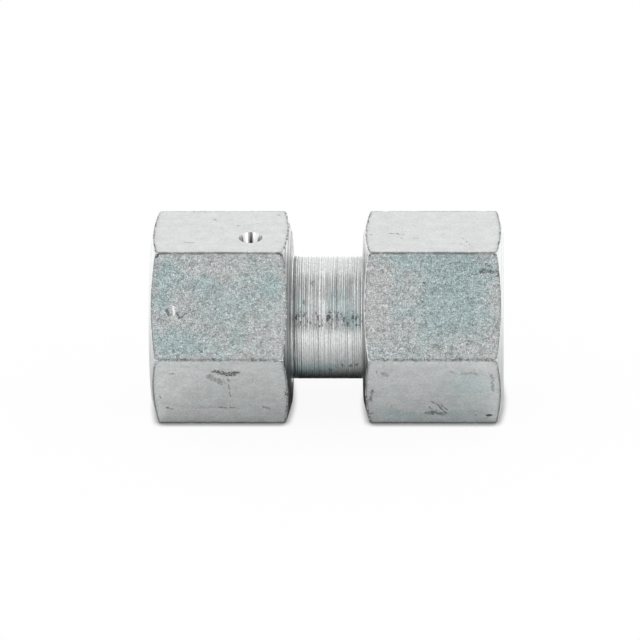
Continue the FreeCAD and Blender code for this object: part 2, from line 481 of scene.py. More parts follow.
def marks_group(name, dark, bright, patches, solid_up_to=0.34):
    """Every placed scratch, bared spot and tint patch of one piece, as three masks. On the shank the dark
    spots, and the band given in place of bared spots, are mostly painted dark reflection.

    Marks wider than a width in millimetres are scuffs made of flecks.
    """
    nodes, given = new_tree(name, {"Place": "Vector"}, ("Dark", "Bright", "Patches"))
    place = given["Place"]
    bent = place + (place.noise(1.1, output="Color") - (0.5, 0.5, 0.5)).scaled(0.9)
    masks = {"Dark": 0.0, "Bright": 0.0, "Patches": 0.0}
    for mask, marks in (("Dark", dark), ("Bright", bright)):
        for start, end, width, strength in marks:
            mark = nodes.group("Scratch", Place=bent, Start=start, End=end, Width=width,
                               Solid=1.2 if width <= solid_up_to else 0.4)[0]
            masks[mask] = nodes.most(masks[mask], mark * strength)
    for centre, along, across, strength in patches:
        inside = (place - centre) * (1 / along, 1 / across, 1 / across)
        masks["Patches"] = masks["Patches"] + inside.span().ramp(0.2, 1.3, strength, 0.0)
    nodes.give(**masks)


def on_flat(flat, x, across):
    """Point in millimetres on a flat of a nut: x along the axis, across the flat."""
    run, rise, out = math.cos(math.radians(flat)), math.sin(math.radians(flat)), APOTHEM / MM
    return (x, out * run + across * rise, out * rise - across * run)


def flat_marks(table):
    """Marks of {flat: rows of x, across, x, across, width, strength}, as points in space."""
    return [(on_flat(flat, *row[:2]), on_flat(flat, *row[2:4]), *row[4:])
            for flat, rows in table.items() for row in rows]


def flat_patches(table):
    """Tint patches of {flat: rows of x, across, half along, half across, strength}, in space."""
    return [(on_flat(flat, *row[:2]), *row[2:]) for flat, rows in table.items() for row in rows]


# Dark marks, bared spots and tint patches of each nut, in millimetres, as the functions above read them
LEFT_DARK = {
    FRONT_UPPER: (
        (-24.4, 7.1, -24.1, 7.5, 0.24, 1.0), (-6.9, 7.6, -6.4, 7.3, 0.24, 1.0),
        (-22.9, -0.5, -22.5, -1.3, 0.3, 0.8), (-21.4, -1.0, -21.0, -1.8, 0.2, 0.8),
        (-21.0, -1.8, -20.3, -1.3, 0.2, 0.8), (-20.2, -1.1, -18.8, -0.5, 0.18, 0.7),
    ),
    FRONT_LOWER: (
        (-16.3, 5.0, -12.6, 4.8, 0.6, 0.95), (-15.4, 4.7, -13.2, 4.5, 1.0, 1.0),
        (-16.8, 3.8, -15.2, 2.4, 1.2, 0.55), (-14.1, 3.4, -14.0, -1.4, 0.14, 0.6),
        (-24.1, -1.0, -24.0, -1.3, 0.2, 0.8), (-5.95, 0.0, -5.9, -0.6, 0.22, 0.9),
        (-23.2, -3.8, -22.7, -4.1, 0.55, 0.75), (-15.4, -3.8, -14.8, -3.8, 0.55, 0.65),
        (-14.1, -3.8, -13.5, -3.9, 0.5, 0.6), (-9.2, -3.7, -8.5, -3.9, 0.6, 0.65),
        (-19.6, -3.9, -12.6, -3.9, 0.36, 0.2), (-22.5, 4.6, -21.9, 4.5, 0.5, 0.5),
    ),
    TOP: (
        (-20.6, 5.7, -20.0, 5.6, 0.16, 0.5), (-16.6, 4.6, -16.2, 4.0, 0.3, 0.4),
        (-13.0, 2.1, -12.5, 2.2, 0.16, 0.65), (-20.6, -3.9, -18.8, -4.2, 0.26, 0.4),
        (-7.4, 6.2, -6.9, 6.1, 0.16, 0.6), (-6.0, 6.0, -5.9, 5.7, 0.18, 0.8),
    ),
}
LEFT_BRIGHT = {FRONT_UPPER: ((-21.95, -0.2, -21.8, -1.1, 0.32, 1.0),)}
LEFT_PATCHES = {
    FRONT_UPPER: (
        (-22.6, 4.2, 2.6, 2.8, 0.9), (-23.4, 0.8, 1.8, 2.0, 0.7), (-17.6, 3.2, 2.8, 1.8, 0.8),
        (-20.8, -5.2, 5.0, 2.4, 0.8), (-8.2, 3.2, 2.0, 2.4, 0.7), (-12.8, -4.8, 1.6, 2.0, 0.6),
        (-14.4, -0.4, 4.6, 5.0, 0.45),
    ),
}
RIGHT_DARK = {
    TOP: (
        (5.75, 3.9, 5.85, 3.3, 0.24, 1.0), (6.1, -1.3, 6.7, -1.3, 0.13, 0.5),
        (9.1, -0.7, 9.5, -0.8, 0.23, 0.8), (10.0, -0.7, 10.3, -0.8, 0.22, 0.8),
        (10.8, -0.9, 11.1, -1.1, 0.14, 0.6), (10.8, -2.6, 11.0, -2.6, 0.16, 0.7),
        (12.4, -2.5, 13.3, -2.6, 0.16, 0.4), (19.4, -2.4, 20.3, -3.6, 0.12, 0.4),
        (20.2, -3.8, 20.9, -5.6, 0.14, 0.4), (19.2, -4.6, 20.2, -5.6, 0.14, 0.3),
    ),
    FRONT_UPPER: (
        (6.1, 7.2, 6.3, 7.4, 0.2, 0.9), (24.0, 7.5, 24.3, 7.3, 0.22, 1.0),
        (14.05, 3.35, 14.15, 3.25, 0.24, 1.0), (23.1, 6.2, 23.6, 5.9, 0.5, 0.9),
        (22.2, 5.1, 23.8, 5.1, 0.7, 0.9), (24.6, 5.2, 24.7, 4.4, 0.5, 0.9),
        (8.4, -2.7, 11.2, -2.4, 0.12, 0.45), (11.2, -2.4, 14.0, -2.9, 0.12, 0.45),
        (16.0, -3.7, 17.0, -5.6, 0.11, 0.6), (14.8, -5.7, 16.4, -5.8, 0.5, 0.5),
    ),
    FRONT_LOWER: (
        (8.3, 4.7, 8.6, 4.1, 0.8, 0.45), (17.7, 5.1, 18.4, 4.5, 0.13, 0.6),
        (20.9, 4.9, 21.7, 4.2, 0.14, 0.6), (19.5, 4.6, 21.8, 4.4, 0.7, 0.35),
        (23.8, 4.4, 24.0, 0.4, 0.5, 0.5), (15.1, -2.2, 16.5, -3.9, 0.2, 0.75),
        (15.7, -2.8, 17.1, -4.9, 0.22, 0.8), (16.5, -3.2, 17.4, -4.3, 0.18, 0.7),
        (14.9, -3.6, 15.7, -4.6, 0.17, 0.6), (14.3, -5.1, 14.9, -4.8, 0.2, 0.85),
        (14.7, -5.5, 15.4, -5.1, 0.2, 0.9), (15.4, -5.5, 16.2, -5.4, 0.22, 0.85),
        (14.4, -5.0, 16.9, -5.2, 0.8, 0.7), (7.2, 5.3, 7.5, 3.7, 0.14, 0.6),
        (21.3, -5.7, 21.6, -5.7, 0.2, 0.8), (23.0, -5.6, 23.6, -5.8, 0.32, 1.0),
        (6.5, 0.4, 6.3, -2.2, 0.6, 0.7), (6.6, -5.1, 6.4, -5.3, 0.2, 0.8),
    ),
}
RIGHT_BRIGHT = {FRONT_UPPER: ((5.65, -5.2, 5.95, -7.2, 0.12, 1.0),)}
RIGHT_PATCHES = {
    FRONT_UPPER: (
        (13.0, 6.8, 7.0, 1.8, 0.7), (18.6, 4.6, 6.0, 4.2, 1.0), (17.0, -0.6, 4.6, 5.0, 0.9),
        (21.0, -1.2, 3.4, 4.2, 0.6), (11.0, -0.8, 2.4, 1.6, 0.5), (7.4, 1.0, 2.6, 7.0, -0.6),
    ),
    FRONT_LOWER: (
        (20.6, 1.7, 4.4, 4.2, 1.3), (10.4, -5.4, 4.4, 2.2, 1.2), (19.0, -5.4, 7.0, 2.2, 0.9),
        (9.8, -2.6, 1.5, 0.8, -0.9), (11.4, -3.6, 1.5, 0.8, -1.2), (13.0, -4.5, 1.5, 0.8, -0.9),
    ),
}
# Dark spots on the shank, most on the line about 23 degrees up where it mirrors the camera, so painted dark
# reflection: x, degrees up from the front, width, strength
SHANK_SPOTS = (
    (-4.3, 23, 0.34, 0.8), (-3.3, 28, 0.24, 0.4), (-3.2, 37, 0.26, 0.5), (-2.0, 57, 0.26, 0.5),
    (-1.3, 23, 0.3, 0.6), (0.3, 23, 0.42, 0.9), (1.4, 23, 0.26, 0.5), (2.5, 21, 0.34, 0.8),
    (3.1, 17, 0.34, 0.7), (3.8, 23, 0.4, 0.8), (4.4, 22, 0.3, 0.6), (2.2, -28, 0.3, 0.6),
    (3.5, -28, 0.34, 0.6), (4.3, -27, 0.3, 0.6), (0.5, -36, 0.3, 0.6),
)
# Tint patches on the shank: x, degrees up from the front, half along, half across, strength
SHANK_PATCHES = (
    (1.6, 38, 2.6, 3.4, 0.42), (-3.8, 32, 1.4, 1.8, 0.45), (3.6, 20, 1.6, 1.8, 0.7),
    (-3.0, -36, 3.0, 2.6, 1.2), (1.0, -30, 3.0, 1.6, 0.6),
)


def on_shank(radius, x, height):
    """Point in millimetres on the shank, some degrees up from its front."""
    turn = math.radians(height)
    return (x, -radius * math.cos(turn), radius * math.sin(turn))


def shank_marks(radius):
    """Shank spots as short upright marks, one broad band of dark flecks along the line where it mirrors the
    camera (mostly painted dark reflection), and tint patches, in space.
    """
    half_spot, band_height, band_width = 1.3, 22, 1.5
    spots = [(on_shank(radius, x, height - half_spot), on_shank(radius, x, height + half_spot), *size)
             for x, height, *size in SHANK_SPOTS]
    band = [(on_shank(radius, -6, band_height), on_shank(radius, 6, band_height), band_width, 1.0)]
    return spots, band, [(on_shank(radius, x, height), *size) for x, height, *size in SHANK_PATCHES]


# ---- Finishes

def new_finish(name):
    """Nodes of a new material that end in its Principled shader, and the place in millimetres."""
    material = bpy.data.materials.new(name)
    material.use_nodes = True
    nodes = Nodes(material.node_tree, material.node_tree.nodes["Principled BSDF"])
    return nodes, nodes.add("ShaderNodeTexCoord")["Object"].scaled(1 / MM)


def flat_finish(name, finish):
    """Zinc plated hexagon flats: orange peel, drawn lines, passivate clouds, worn edges and marks."""
    nodes, place = new_finish(name + " flats")
    peel, edge, end = (nodes.attribute(key) for key in ("peel", "edge", "end"))
    x, _, height = place.parts()
    torn, breaks = place.noise(2.6, 4.0, 0.75), place.noise(1.9, 3.0, 0.75)
    skin = nodes.group("Orange peel", Place=place, Cell=finish.peel_cell / MM)
    lines = nodes.group("Drawn lines", Place=place)["Lines"]
    marks = nodes.group(name + " marks", Place=place)
    patches = marks["Patches"]

    # Border of the flat: a ragged dark line, more so along the front edge; along the ends of the lower flats it
    # is widened and made whole as painted contact shade
    at_front, at_end, below = abs(height).fall(0.3, 1.4), end.fall(0.15, 0.6), height.fall(-2.0, -0.8)
    upper = height.ramp(12.2, 13.0) * place.noise(0.6).ramp(0.4, 0.6, 0.2, 1.2)
    wobble = (place.noise(1.2) - 0.5) * at_front
    ragged = (edge + (torn - 0.5) * abs(height).ramp(0.2, 1.6, 1.6, 0.7) + upper * -0.14
              + wobble * 1.1 + below * at_end * -0.12)
    grainy = peel * ragged.ramp(0.0, 0.3)
    whole = nodes.most(breaks.ramp(0.44, 0.52, 0.25, 1.0), below * 0.8)
    broken = nodes.most(at_end, at_front * 0.8)
    line = ragged.fall(0.02, 0.24) * edge.ramp(-0.2, -0.06) * nodes.most(whole, 1.0 - broken)

    # Burr at the turned ends, whose white line is a painted highlight, and what is dark: nicks, painted contact
    # shade on the lowest edge, specks
    burr_and_highlight = end.fall(0.06, 0.22) * breaks.fall(0.43, 0.49)
    # Painted highlight: at the inner ends the burr's line is made white and not metallic, as are the bared
    # spots
    highlight_and_bared = nodes.most(burr_and_highlight * abs(x).fall(7.0, 9.0), marks["Bright"])
    nicks = edge.fall(0.15, 0.8) * torn.ramp(0.53, 0.6)
    bites = edge.fall(0.1, 0.5) * place.noise(4.2, 3.0, 0.8).ramp(0.52, 0.6)
    # Painted contact shade: the lowest edge is darkened in the colour where the nut stands on the floor
    painted_contact_shade = (height.fall(-13.5, -12.85) * place.noise(1.1, 3.0, 0.7).ramp(0.35, 0.6, 0.8, 1.0)
             * edge.fall(0.3, 0.66))
    # The dark border line is weaker towards the top except at the ends; the nicks and bites are wear
    worn = (nodes.most(line * 0.9, nodes.most(nicks, bites) * 0.65)
            * nodes.most(height.ramp(-6.0, 13.0, 1.0, 0.75), at_end))
    specks = nodes.group("Specks", Place=place, Gap=1.6, Size=0.12)["Mark"]
    dots = nodes.group("Specks", Place=place, Gap=0.75, Size=0.09)["Mark"]
    dark = nodes.most(marks["Dark"], specks * 0.5, dots * height.ramp(-6.0, 8.0, 0.45, 0.2), worn, painted_contact_shade)

    # Shade of the plate: cloudy on smooth flats, grainy under the orange peel
    mottle = (place.noise(0.5, 4.0, 0.65).ramp(0.3, 0.7) * 0.9 + lines.ramp(0.35, 0.65) * 0.45
              + place.noise(3.8, 3.0, 0.8).ramp(0.3, 0.7) * 1.4 - 1.375)
    cloudy = height.ramp(-8.0, 13.0, 0.15, 0.1) * peel.ramp(0.3, 1.0, 1.0, 0.4)
    shade = (peel.ramp(0.0, 1.0, 1.01, 0.88) + grainy * (skin["Shade"] - 0.5) + mottle * cloudy
             + patches * -0.03)
    tint = nodes.group("Plate tint", Place=place, Patches=patches,
                       Amount=nodes.most(peel.ramp(0.15, 0.5, 0.06, 1.0), patches * 0.42))["Tint"]
    plate = nodes.shaded(nodes.blend(tint, finish.zinc, finish.tint), shade)
    # Glint colour for the bared spots, the burr's painted highlight and the grains' painted sparkle highlights
    bright = nodes.most(marks["Bright"], burr_and_highlight, skin["Spark"] * grainy)
    nodes.give(
        Base_Color=nodes.blend(dark * (1.0 - highlight_and_bared), nodes.blend(bright, plate, finish.glint), finish.soil),
        Metallic=1.0 - highlight_and_bared,
        Roughness=peel.ramp(0.2, 1.0, finish.flat_roughness, finish.peel_roughness) + lines * 0.08 + dark * 0.2,
        Normal=nodes.bump(skin["Height"] * 0.05 * grainy.ramp(0.0, 1.0, 0.06, 1.0)
                          + lines * 0.012 + dark * -0.05 + burr_and_highlight * 0.08))


def turned_finish(name, finish, roughness, pitch, depth, levels, outwards=False, marks_name=None):
    """Plated turned faces, with feed marks along the axis or outwards from it."""
    nodes, place = new_finish(name)
    x, _, z = place.parts()
    radial, away = place.off_axis(), abs(x)
    rings = nodes.group("Turned rings", Place=place, Along=radial if outwards else x + radial, Pitch=pitch)
    dark = nodes.group("Specks", Place=place, Gap=1.6, Size=0.16)["Mark"] * 0.5
    middle = sum(levels) / 2
    contrast = rings["Shade"].ramp(0.2, 0.75, *levels) - middle
    calm, patches, rim = 1.0, 0.0, 0.0
    if marks_name:
        marks = nodes.group(marks_name, Place=place)
        patches = marks["Patches"]
        # On the shank the bright marks are the band of dark flecks where it mirrors the camera: painted dark
        # reflection
        flecks = (place * (2.6, 1.3, 1.3)).noise(1.3, 3.0, 0.7).ramp(0.55, 0.63, 0.0, 0.85)
        dark = nodes.most(dark, marks["Dark"], flecks * marks["Bright"])
        bare = away.fall(5.0, 5.5)
        dust = (place * (2.4, 1.0, 1.0)).noise(2.6, 3.0, 0.8).ramp(0.38, 0.62, -0.12, 0.12)
        # Near the left nut the stripes are the deeper tool grooves, darkened as painted shade of the gap to the
        # nut
        stripes_and_gap_shade = x.fall(-4.6, -4.2) * rings["Height"].ramp(0.42, 0.5, 0.55, 0.0)
        # Painted light: the ring shade has less contrast below the axis, where the shank mirrors the smooth
        # white floor
        level = contrast * z.ramp(0.0, 3.0, 0.6, 1.0) + middle + dust * bare - stripes_and_gap_shade * bare
    elif outwards:
        calm = away.ramp(7.0, 20.0, 1.0, 0.5)
        grooves = (abs(nodes.math("FRACT", radial / 1.13) - 0.5).ramp(0.24, 0.44)
                   * place.noise(0.9, 3.0, 0.7).ramp(0.35, 0.6, 0.3, 1.0))
        shadow = z.ramp(-13.0, 13.0, 0.6, 1.0) * radial.ramp(12.0, 14.4, 0.62, 1.05)
        level = (contrast * calm + middle) * nodes.most(shadow, away.ramp(7.0, 20.0))
        # White line over the right nut's inner end: a painted highlight, white and not metallic
        rim = (nodes.attribute("drop").fall(0.2, 0.7) * x.ramp(4.0, 5.0) * x.fall(7.0, 9.0)
               * place.noise(1.6, 3.0, 0.8).ramp(0.36, 0.5) * z.ramp(-0.5, 0.2))
        dark = nodes.most(dark, grooves * away.ramp(6.0, 20.0, 1.0, 0.15)) * (1.0 - rim)
    else:
        level = contrast + middle
    tint = nodes.group("Plate tint", Place=place, Patches=patches,
                       Amount=nodes.least(patches + 0.3, 0.9))["Tint"]
    plate = nodes.blend(rim, nodes.shaded(nodes.blend(tint, finish.zinc, finish.tint), level), finish.glint)
    nodes.give(
        Base_Color=nodes.blend(dark, plate, finish.soil), Metallic=1.0 - rim,
        Roughness=place.noise(0.8, 3.0) * 0.1 + roughness,
        Normal=nodes.bump(rings["Height"] * (calm * depth) + dark * -0.03))


def drilled_finish(finish, hole_place):
    """Bright wall of a drilled hole, with faint lines down it, and painted shade: darker deeper in, a painted
    shadow line down the middle, darker lobes and a darker mouth edge.
    """
    nodes, place = new_finish("Drilled hole")
    depth = place.off_axis()
    off = abs(abs(place.parts()[0]) - hole_place)
    lines = (place * (3.0, 0.8, 0.8)).noise(1.0)
    painted_shadow_line = nodes.least(off.ramp(0.12, 0.3) + depth.ramp(12.0, 13.8, 0.05, 0.6), 1.0)
    painted_shade_lobes = off.ramp(0.95, 1.3) * depth.ramp(13.1, 13.5, 0.45, 0.2)
    # Painted shade: the wall darkens deeper into the hole and at the mouth's edge
    level = (depth.ramp(10.6, 13.6, 0.45, 1.0) * lines.ramp(0.3, 0.6, 0.82, 1.0) * painted_shadow_line * (1.0 - painted_shade_lobes)
             * depth.ramp(13.5, 13.62, 1.0, 0.5))
    nodes.give(Base_Color=nodes.shaded(finish.glint, level), Metallic=1.0,
               Roughness=lines.ramp(0.3, 0.7, 0.1, 0.2), Normal=nodes.bump(lines * 0.03))


def wire_finish(finish):
    """Drawn spring wire with fine lines round the axis and small specks."""
    nodes, place = new_finish("Drawn spring wire")
    lines = nodes.joined(place.parts()[0], place.off_axis(), 0.0).noise(9.0, 3.0, 0.6)
    specks = nodes.group("Specks", Place=place, Gap=0.9, Size=0.1)["Mark"]
    plate = nodes.shaded(finish.wire, lines.ramp(0.3, 0.7, 0.82, 1.08))
    nodes.give(Base_Color=nodes.blend(specks * 0.5, plate, finish.soil), Metallic=1.0,
               Roughness=lines.ramp(0.2, 0.8, 0.2, 0.34), Normal=nodes.bump(lines * 0.01))


def rubber_finish(finish, ring_place):
    """Moulded rubber with a parting line, faint bloom and dust."""
    nodes, place = new_finish("Moulded rubber")
    parting = abs(abs(place.parts()[0]) - ring_place).fall(0.0, 0.06)
    bloom = place.noise(0.8, 4.0, 0.6).ramp(0.45, 0.75)
    dust = nodes.group("Specks", Place=place, Gap=0.5, Size=0.07)["Mark"]
    nodes.give(Base_Color=nodes.blend(bloom * 0.05 + dust * 0.2, finish.rubber, (0.3, 0.3, 0.3)),
               Roughness=bloom.ramp(0.0, 1.0, 0.38, 0.55),
               Normal=nodes.bump(parting * 0.03 + place.noise(12.0) * 0.004))


def finishes(scene):
    """Every finish by its name, made once."""
    if "Orange peel" not in bpy.data.node_groups:
        finish = scene.connector_finish
        for group in (orange_peel_group, plate_tint_group, drawn_lines_group, turned_rings_group,
                      scratch_group, specks_group):
            group()
        marks_group("Left nut marks", flat_marks(LEFT_DARK), flat_marks(LEFT_BRIGHT),
                    flat_patches(LEFT_PATCHES))
        marks_group("Right nut marks", flat_marks(RIGHT_DARK), flat_marks(RIGHT_BRIGHT),
                    flat_patches(RIGHT_PATCHES))
        marks_group("Shank marks", *shank_marks(scene.connector_body.shank / MM), solid_up_to=99)
        flat_finish("Left nut", finish)
        flat_finish("Right nut", finish)
        plain, shank = finish.turned_roughness, finish.shank_roughness
        turned_finish("Turned ends", finish, plain, 0.75, 0.08, (0.62, 1.2), outwards=True)
        turned_finish("Nut bore", finish, plain, 0.2, 0.012, (0.7, 1.2))
        turned_finish("Turned shank", finish, shank, 0.3, 0.04, (0.78, 1.16), marks_name="Shank marks")
        drilled_finish(finish, (INNER_END + scene.connector_nut.groove_place) / MM)
        wire_finish(finish)
        rubber_finish(finish, scene.connector_body.ring_place / MM)
    return bpy.data.materials


# ---- Meshes

def new_piece(context, name, mesh):
    """Object at the origin with this mesh, linked to the scene."""
    piece = bpy.data.objects.new(name, mesh)
    context.scene.collection.objects.link(piece)
    return piece


def close_up(mesh):
    """Welds doubled points and turns every face outwards."""
    work = bmesh.new()
    work.from_mesh(mesh)
    bmesh.ops.remove_doubles(work, verts=work.verts, dist=SAME_POINT)
    bmesh.ops.recalc_face_normals(work, faces=work.faces)
    if work.calc_volume(signed=True) < 0:
        bmesh.ops.reverse_faces(work, faces=work.faces)
    work.to_mesh(mesh)
    work.free()
    mesh.update()


def smooth_with_edges(mesh):
    """Smooth shading that keeps sharp edges."""
    mesh.polygons.foreach_set("use_smooth", [True] * len(mesh.polygons))
    mesh.set_sharp_from_angle(angle=SHARP)


def wrapped_grid(name, points):
    """Mesh of rows x columns points joined round in both directions."""
    rows, columns = points.shape[:2]
    index = np.arange(rows * columns).reshape(rows, columns)
    below, beside = np.roll(index, -1, 0), np.roll(index, -1, 1)
    faces = np.stack([index, below, np.roll(below, -1, 1), beside], -1).reshape(-1, 4)
    mesh = bpy.data.meshes.new(name)
    mesh.from_pydata(points.reshape(-1, 3).tolist(), [], faces.tolist())
    return mesh


def apply_all(context, piece):
    """Turns a piece with its modifiers into a plain mesh."""
    context.view_layer.update()
    graph = context.evaluated_depsgraph_get()
    mesh = bpy.data.meshes.new_from_object(piece.evaluated_get(graph), depsgraph=graph)
    old = piece.data
    piece.modifiers.clear()
    piece.data = mesh
    bpy.data.meshes.remove(old)
    mesh.name = piece.name


def cut(context, piece, name, rings):
    """Cuts a closed solid through rings of points out of a piece. An end with one point is a tip."""
    work = bmesh.new()
    rings = [[work.verts.new(point) for point in ring] for ring in rings]
    for near, far in zip(rings, rings[1:]):
        for k in range(len(near)):
            after = (k + 1) % len(near)
            work.faces.new((near[k], near[after], *((far[after], far[k]) if len(far) > 1 else far)))
    for ring in (rings[0], rings[-1]):
        if len(ring) > 1:
            work.faces.new(ring)
    bmesh.ops.recalc_face_normals(work, faces=work.faces)
    mesh = bpy.data.meshes.new(name)
    work.to_mesh(mesh)
    work.free()
    tool = new_piece(context, name, mesh)
    modifier = piece.modifiers.new("Cut", "BOOLEAN")
    modifier.operation, modifier.object, modifier.solver = "DIFFERENCE", tool, "EXACT"
    apply_all(context, piece)
    bpy.data.objects.remove(tool)
    bpy.data.meshes.remove(mesh)


def round_turns(steps):
    """Angles of even steps all the way round."""
    return [2 * math.pi * k / steps for k in range(steps)]


def groove_arc(nut, centre, turns):
    """Points (along, radius) of the wire groove's round section."""
    return [(centre + nut.groove_radius * math.cos(turn),
             nut.groove_circle + nut.groove_radius * math.sin(turn)) for turn in turns]


def hexagon_columns(nut):
    """Polar angle and radius of every column round the hexagon, with its rounded edges."""
    inner = nut.apothem - nut.edge_radius
    reach, support = inner * HALF_SIDE, 0.06 * MM
    steps = np.linspace(reach - support, support - reach, nut.flat_columns - 1)
    steps = np.concatenate([[reach], steps, [-reach]])
    points = []
    for flat in range(TOP, TOP + 360, 60):
        turn = math.radians(flat)
        normal = np.array([math.cos(turn), math.sin(turn)])
        tangent = np.array([normal[1], -normal[0]])
        points += [normal * nut.apothem + tangent * step for step in steps]
        centre = normal * inner - tangent * reach
        for step in range(1, nut.edge_columns):
            turn = math.radians(flat + 60 * step / nut.edge_columns)
            points.append(centre + nut.edge_radius * np.array([math.cos(turn), math.sin(turn)]))
    points = np.array(points)
    return np.arctan2(points[:, 1], points[:, 0]), np.hypot(points[:, 0], points[:, 1])


def between(a, b, f):
    """Point a share of the way from a to b."""
    return tuple((1 - f) * start + f * stop for start, stop in zip(a, b))


def bend(before, corner, after, steps):
    """Points of a soft bend between two lines that meet at a corner."""
    return [between(between(before, corner, k / steps), between(corner, after, k / steps), k / steps)
            for k in range(steps + 1)]


def nut_profile(nut, radius):
    """Closed outline (place along the nut, radius) of each column, outside first, then the inside."""
    run, fall = math.sin(nut.chamfer_angle), math.cos(nut.chamfer_angle)
    soft, circle = nut.soft_edge, nut.end_circle
    start = (radius - circle) * math.tan(nut.chamfer_angle)
    rim = bend((0.0, circle - soft), (0.0, circle), (soft * run, circle + soft * fall), 3)
    corner = bend((start - soft * run, radius - soft * fall), (start, radius), (start + soft, radius), 4)
    border = rim[1:] + [between(rim[-1], corner[0], f) for f in (0.25, 0.5, 0.75)] + corner
    outline = [(0.0, r) for r in np.linspace(nut.neck + nut.neck_break, circle - soft, 10)] + border
    outline += [between((start + soft, radius), (NUT_LENGTH - start - soft, radius), f)
                for f in np.linspace(0, 1, nut.flat_rows + 1)[1:-1]]
    outer_face = [(0.0, r) for r in np.linspace(nut.mouth, circle - soft, 4)]
    outline += [(NUT_LENGTH - u, r) for u, r in reversed(outer_face + border)]

    flare = nut.mouth - nut.thread_root
    root_start = nut.thread_start - (nut.thread_root - nut.thread_crest)
    outline += [(u, nut.thread_root) for u in np.linspace(NUT_LENGTH - flare, root_start, 8)]
    outline += [(root_start - (nut.relief - nut.thread_root), nut.relief), (nut.neck_end, nut.relief)]
    neck_stop = nut.neck_end - nut.relief_flank
    drop = nut.neck - nut.groove_circle
    half_groove = math.sqrt(nut.groove_radius ** 2 - drop ** 2)
    first = math.asin(drop / nut.groove_radius)
    outline += [(neck_stop, nut.neck), ((neck_stop + nut.groove_place + half_groove) / 2, nut.neck)]
    outline += groove_arc(nut, nut.groove_place, np.linspace(first, math.pi - first, 13))
    outline += [(u, nut.neck) for u in np.linspace(nut.groove_place - half_groove, nut.neck_break, 6)[1:]]
    place, away = np.zeros((2, len(outline), len(radius)))
    for row, (u, r) in enumerate(outline):
        place[row], away[row] = u, r
    return place, away


def flat_of(y, z):
    """Flat that a point lies towards, how far across it, and its height over the axis."""
    flat = (np.round((np.degrees(np.arctan2(z, y)) - TOP) / 60) * 60 + TOP) % 360
    turn = np.radians(flat)
    return flat, y * np.sin(turn) - z * np.cos(turn), y * np.cos(turn) + z * np.sin(turn)


def to_borders(nut, along, across, y, z):
    """Distances from a flat's long edge, from its turned end, and from its worn round border."""
    to_long = nut.apothem * HALF_SIDE - np.abs(across)
    chamfer = (np.hypot(y, z) - nut.end_circle) * math.tan(nut.chamfer_angle)
    to_end = np.minimum(along, NUT_LENGTH - along) - chamfer
    corner = 0.7 * MM
    border = corner - np.hypot(np.maximum(corner - to_long, 0), np.maximum(corner - to_end, 0))
    return to_long, to_end, border


def weather_nut(nut, points, place, seed):
    """Slow hollows in the flats and nicks along the edges, always inwards."""
    y, z = points[..., 1], points[..., 2]
    flat, across, height = flat_of(y, z)
    to_long, to_end, border = to_borders(nut, place, across, y, z)
    edge_reach, most_worn, on_chamfer = 0.45 * MM, 0.3 * MM, -0.01 * MM
    near_edge = np.exp(-(to_long / edge_reach) ** 2)
    worn = np.clip(-border, 0, most_worn) * 0.6
    worn[to_end < on_chamfer] = 0

    def rough(index, along, around):
        x, side, up = place[index] / MM, y[index] / MM, z[index] / MM
        return noise.noise(Vector((x * along + seed, side * around, up * around)))

    shrink = np.zeros(y.shape)
    for index in zip(*np.nonzero(height > nut.end_circle * 0.99)):
        hollow = 0.5 + 0.5 * rough(index, 0.16, 0.22)
        nick = max(0.0, rough(index, 1.1, 0.5) - 0.12) * 2.5
        shrink[index] = nut.waviness * hollow + nut.nick_depth * near_edge[index] * nick + worn[index]
    round_from = (nut.apothem - nut.edge_radius) * HALF_SIDE
    rounded = np.clip((np.abs(across) - round_from) / (nut.edge_radius / 2), 0, 1)
    turn = np.radians(flat - np.sign(across) * 30 * rounded)
    y -= shrink * np.cos(turn)
    z -= shrink * np.sin(turn)


# How grainy each flat is
PEEL = {TOP: 0.2, FRONT_UPPER: 1.0, FRONT_LOWER: 0.26, BOTTOM: 0.5, REAR_LOWER: 0.85, REAR_UPPER: 0.3}
# Order of a nut's materials
FLATS, ENDS_OF_NUT, BORE, HOLE = range(4)


def face_finish(nut, side, hole, face):
    """Number of the material that a face of a nut gets."""
    middle, normal = face.center, face.normal
    touch, drilled = hole
    off_hole = (middle - touch).cross(drilled).length
    if abs(off_hole - nut.hole_radius) < 0.03 * MM and abs(normal.dot(drilled)) < 0.3:
        return HOLE
    within = math.hypot(middle.y, middle.z) < nut.mouth * 1.005
    if within and NUT_LENGTH - 0.4 * MM > side * middle.x - INNER_END > 0.4 * MM:
        return BORE
    if normal.y * middle.y + normal.z * middle.z < 0 and abs(normal.x) < 0.9:
        return BORE
    if abs(normal.x) > 0.6:
        return ENDS_OF_NUT
    turn = math.radians(flat_of(middle.y, middle.z)[0])
    return FLATS if normal.y * math.cos(turn) + normal.z * math.sin(turn) > 0.8 else BORE


def dress_nut(nut, mesh, end):
    """Stores how grainy and how near an edge each point is, and picks each face's finish."""
    co = np.empty(len(mesh.vertices) * 3)
    mesh.vertices.foreach_get("co", co)
    x, y, z = co.reshape(-1, 3).T
    flat, across, height = flat_of(y, z)
    _, to_end, border = to_borders(nut, end["side"] * x - INNER_END, across, y, z)
    peel = np.select([flat == key for key in PEEL], list(PEEL.values()), 0.2)
    for name, values in (("edge", border / MM), ("end", to_end / MM), ("peel", peel),
                         ("drop", (nut.apothem - height) / MM)):
        mesh.attributes.new(name, "FLOAT", "POINT").data.foreach_set("value", values.astype(np.float32))
    hole = hole_axis(nut, end)
    for face in mesh.polygons:
        face.material_index = face_finish(nut, end["side"], hole, face)


